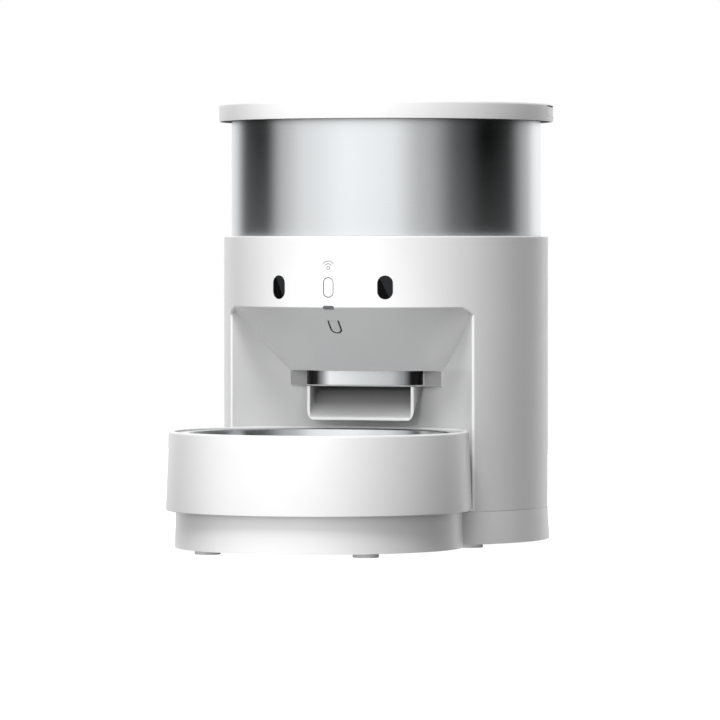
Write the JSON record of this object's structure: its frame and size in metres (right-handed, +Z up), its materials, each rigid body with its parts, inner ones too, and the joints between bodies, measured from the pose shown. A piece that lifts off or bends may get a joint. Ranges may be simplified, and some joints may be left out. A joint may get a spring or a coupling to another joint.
{
  "type": "automatic pet feeder",
  "caption": "Automatic pet feeder: lidded steel food barrel on a round body whose paddle wheel drops portions down a chute into a steel bowl in front.",
  "frame": {"origin": "on the floor, in the middle of the footprint's box", "axes": "+Z up, -Y towards the bowl at the front, +X to the right as seen from behind the bowl looking at the body"},
  "size_m": [0.2266, 0.3414, 0.298],
  "materials": {
    "white_abs": "white moulded ABS, satin",
    "steel_brushed": "stainless steel, brushed round its axis",
    "liner_plastic": "translucent white food-grade polypropylene",
    "dark_plastic": "dark grey moulded ABS",
    "rubber_dark": "soft black rubber",
    "rubber_light": "soft light grey rubber",
    "paddle_rubber": "soft white silicone",
    "wheel_plastic": "white acetal",
    "steel_plain": "zinc plated steel",
    "motor_can": "plated motor can",
    "cell_jacket": "plain printed cell jacket",
    "board_green": "green solder mask",
    "module_black": "black moulded plastic",
    "window_black": "gloss black infrared window",
    "lens_grey": "grey translucent light pipe",
    "button_chrome": "chromed plastic ring",
    "drier_paper": "nonwoven drier sachet"
  },
  "bodies": {
    "root": {"body_shell": "white_abs", "base": "white_abs", "bottom_cover": "dark_plastic", "rubber_feet": "rubber_light", "cover_screws": "steel_plain", "body_screws": "steel_plain", "battery_box": "dark_plastic", "battery_cells": "cell_jacket", "battery_contacts": "steel_plain", "battery_door": "dark_plastic", "power_inlet": "dark_plastic", "deck": "dark_plastic", "deck_screws": "steel_plain", "main_board": "board_green", "board_screws": "steel_plain", "motor": "motor_can", "gearbox_housing": "dark_plastic", "wheel_bush": "wheel_plastic", "chute": "white_abs", "spout_band": "steel_brushed", "sensor_window_left": "window_black", "sensor_window_right": "window_black", "sensor_modules": "module_black", "control_board": "board_green", "tact_switch": "module_black", "indicator_lens": "lens_grey", "wireless_mark": "lens_grey", "button_ring": "button_chrome", "food_bin": "liner_plastic", "outlet_guard": "liner_plastic", "barrel": "steel_brushed", "barrel_gasket": "rubber_dark"},
    "wheel": {"paddle_hub": "wheel_plastic", "paddle_tips": "paddle_rubber", "stirrer": "wheel_plastic", "output_shaft": "steel_plain", "output_gear": "wheel_plastic"},
    "pinion": {"motor_pinion": "wheel_plastic"},
    "lid": {"lid": "white_abs", "lid_liner": "liner_plastic", "lid_seal": "rubber_dark", "latch_pins": "steel_plain", "drier_tray": "liner_plastic", "drier_bag": "drier_paper"},
    "latch_left": {"latch_left": "white_abs"},
    "latch_right": {"latch_right": "white_abs"},
    "drier_cover": {"drier_cover": "liner_plastic"},
    "ring": {"bowl_ring": "white_abs"},
    "bowl": {"bowl": "steel_brushed"},
    "button": {"feed_button": "white_abs"},
    "tongue": {"reset_tongue": "white_abs"}
  },
  "joints": [
    {"name": "wheel_turn", "type": "hinge", "parent": "root", "child": "wheel", "pos_m": [0, 0.0574, 0.12], "axis": [0, 0, 1], "continuous": true},
    {"name": "pinion_turn", "type": "hinge", "parent": "root", "child": "pinion", "pos_m": [0, 0.0784, 0.1], "axis": [0, 0, 1], "continuous": true},
    {"name": "lid_lift", "type": "slide", "parent": "root", "child": "lid", "axis": [0, 0, 1], "range_m": [0, 0.12]},
    {"name": "latch_left_swing", "type": "hinge", "parent": "lid", "child": "latch_left", "pos_m": [-0.10991, 0.07678, 0.294], "axis": [0.1736, 0.9848, 0], "range_deg": [0, 20], "stiffness_Nm_per_rad": 0.05},
    {"name": "latch_right_swing", "type": "hinge", "parent": "lid", "child": "latch_right", "pos_m": [0.10991, 0.07678, 0.294], "axis": [0.1736, -0.9848, 0], "range_deg": [0, 20], "stiffness_Nm_per_rad": 0.05},
    {"name": "drier_cover_twist", "type": "hinge", "parent": "lid", "child": "drier_cover", "pos_m": [0, 0.0574, 0.281], "axis": [0, 0, 1], "range_deg": [0, 30]},
    {"name": "bowl_ring_slide", "type": "slide", "parent": "root", "child": "ring", "axis": [0, -1, 0], "range_m": [0, 0.12]},
    {"name": "bowl_lift", "type": "slide", "parent": "ring", "child": "bowl", "axis": [0, 0, 1], "range_m": [0, 0.004]},
    {"name": "button_press", "type": "slide", "parent": "root", "child": "button", "axis": [0, 1, 0], "range_m": [0, 0.0007], "stiffness_N_per_m": 400},
    {"name": "tongue_press", "type": "hinge", "parent": "root", "child": "tongue", "pos_m": [0, -0.0436, 0.1513], "axis": [1, 0, 0], "range_deg": [0, 5], "stiffness_Nm_per_rad": 0.05}
  ],
  "couplings": [
    {"joint": "pinion_turn", "follows": "wheel_turn", "ratio": -2.5}
  ]
}
